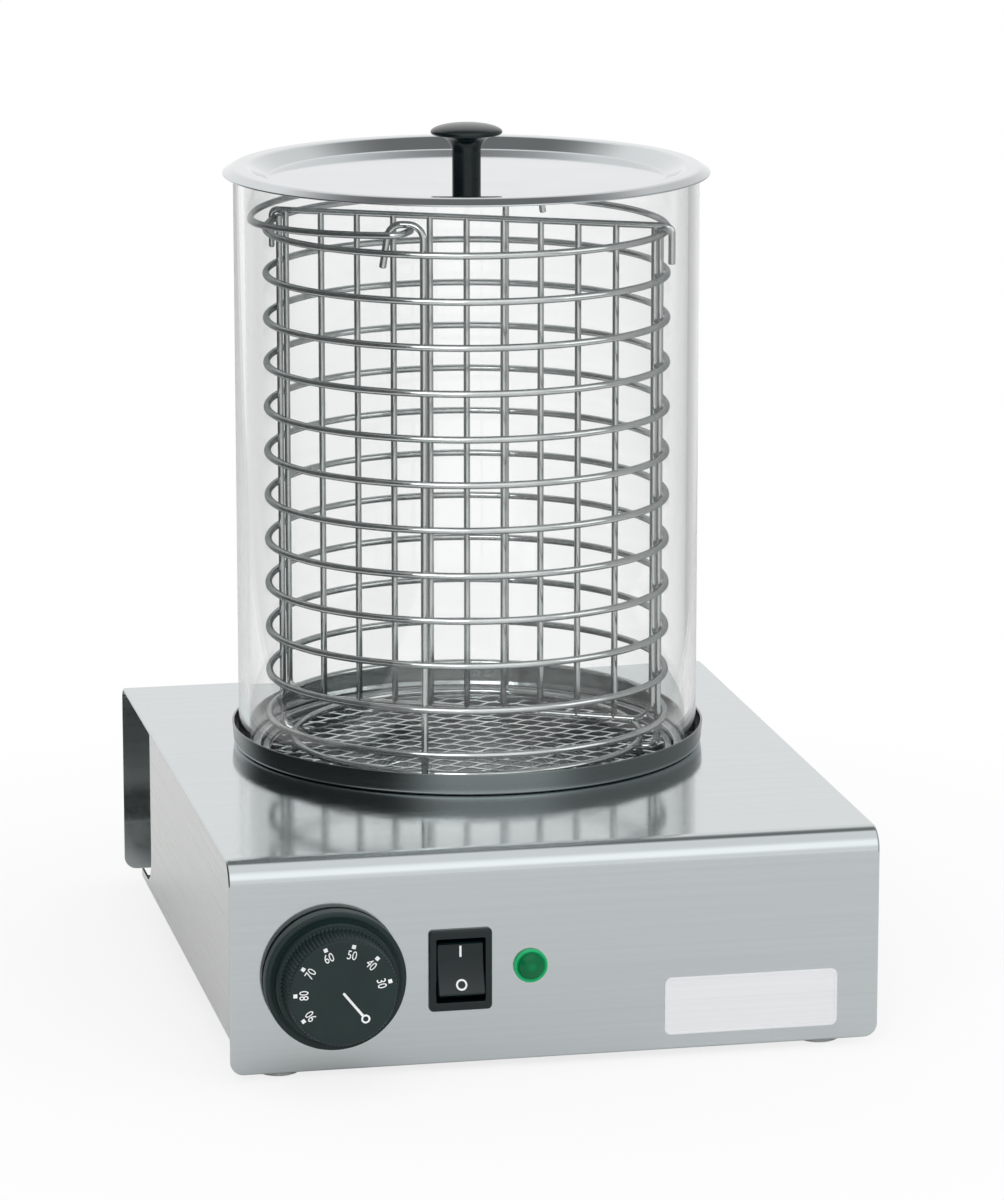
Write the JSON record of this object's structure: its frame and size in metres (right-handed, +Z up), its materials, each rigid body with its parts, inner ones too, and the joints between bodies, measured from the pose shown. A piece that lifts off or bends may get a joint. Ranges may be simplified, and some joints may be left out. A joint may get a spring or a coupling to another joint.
{
  "type": "hot dog machine",
  "caption": "Counter-top steam warmer for hot dogs: steel housing with dial, switch and lamp, water dish, glass cylinder, wire basket with divider, and a dished lid with a knob.",
  "frame": {"origin": "middle of the bounding box on the table, under the feet", "axes": "+X to the right seen from the front, +Y to the back, +Z up; the dial is on the -Y side"},
  "size_m": [0.285, 0.375, 0.3818],
  "materials": {
    "steel_cover": "brushed stainless sheet, grain along the width",
    "steel_panel": "brushed stainless sheet",
    "steel_bright": "polished stainless sheet",
    "steel_mesh": "expanded stainless sheet",
    "wire": "electropolished stainless wire",
    "zinc": "zinc plated",
    "copper": "bare copper",
    "brass": "bare",
    "heater": "heat-tinted steel sheath",
    "rubber": "milky clear",
    "black_matte": "fine grained",
    "black_gloss": "glossy",
    "white_plastic": "moulded",
    "green_lens": "clear tinted",
    "glass": "clear"
  },
  "bodies": {
    "base": {"bottom_plate": "steel_panel", "bottom_screws": "zinc", "bulb_clips": "zinc", "cable_gland": "black_matte", "dish_stud": "zinc", "earth_nut": "brass", "earth_stud": "brass", "foot_front_left": "rubber", "foot_front_right": "rubber", "foot_nuts": "zinc", "foot_rear_left": "rubber", "foot_rear_right": "rubber", "foot_studs": "zinc", "gland_locknut": "black_matte", "grip_panel_left": "steel_panel", "grip_panel_right": "steel_panel", "heater_clamp_plate": "zinc", "heater_nut": "zinc", "heating_element": "heater", "housing_cover": "steel_cover", "pilot_lamp_body": "black_matte", "pilot_lamp_lens": "green_lens", "pilot_lamp_nut": "black_matte", "safety_limiter": "black_matte", "side_panel_left": "steel_panel", "side_panel_right": "steel_panel", "switch_housing": "black_gloss", "terminal_block": "white_plastic", "thermostat_body": "black_matte", "thermostat_bulb": "copper", "thermostat_capillary": "copper", "thermostat_nut": "zinc", "water_dish": "steel_bright"},
    "glass": {"glass_cylinder": "glass"},
    "mesh": {"mesh_plate": "steel_mesh"},
    "basket": {"basket": "wire"},
    "bail": {"basket_bail": "wire"},
    "divider": {"divider": "wire"},
    "lid": {"lid": "steel_bright", "lid_knob": "black_gloss", "lid_knob_screw": "zinc"},
    "dial": {"thermostat_dial": "black_matte", "thermostat_shaft": "zinc"},
    "rocker": {"switch_rocker": "black_gloss"}
  },
  "joints": [
    {"name": "glass_lift", "type": "slide", "parent": "base", "child": "glass", "axis": [0, 0, 1], "range_m": [0, 0.05]},
    {"name": "mesh_lift", "type": "slide", "parent": "glass", "child": "mesh", "axis": [0, 0, 1], "range_m": [0, 0.03]},
    {"name": "basket_lift", "type": "slide", "parent": "mesh", "child": "basket", "axis": [0, 0, 1], "range_m": [0, 0.27]},
    {"name": "divider_lift", "type": "slide", "parent": "basket", "child": "divider", "axis": [0, 0, 1], "range_m": [0, 0.085]},
    {"name": "lid_lift", "type": "slide", "parent": "divider", "child": "lid", "axis": [0, 0, 1], "range_m": [0, 0.16]},
    {"name": "bail_swing", "type": "hinge", "parent": "basket", "child": "bail", "pos_m": [0, 0.035, 0.345], "axis": [0.4748, 0.8801, 0], "range_deg": [0, 92.5]},
    {"name": "dial_turn", "type": "hinge", "parent": "base", "child": "dial", "pos_m": [-0.098, -0.1625, 0.0448], "axis": [0, 1, 0], "range_deg": [0, 265]},
    {"name": "rocker_tip", "type": "hinge", "parent": "base", "child": "rocker", "pos_m": [-0.0429, -0.1605, 0.0448], "axis": [1, 0, 0], "range_deg": [0, 22]}
  ],
  "couplings": [
    {"joint": "bail_swing", "follows": "lid_lift", "rad_per_m": 10}
  ]
}
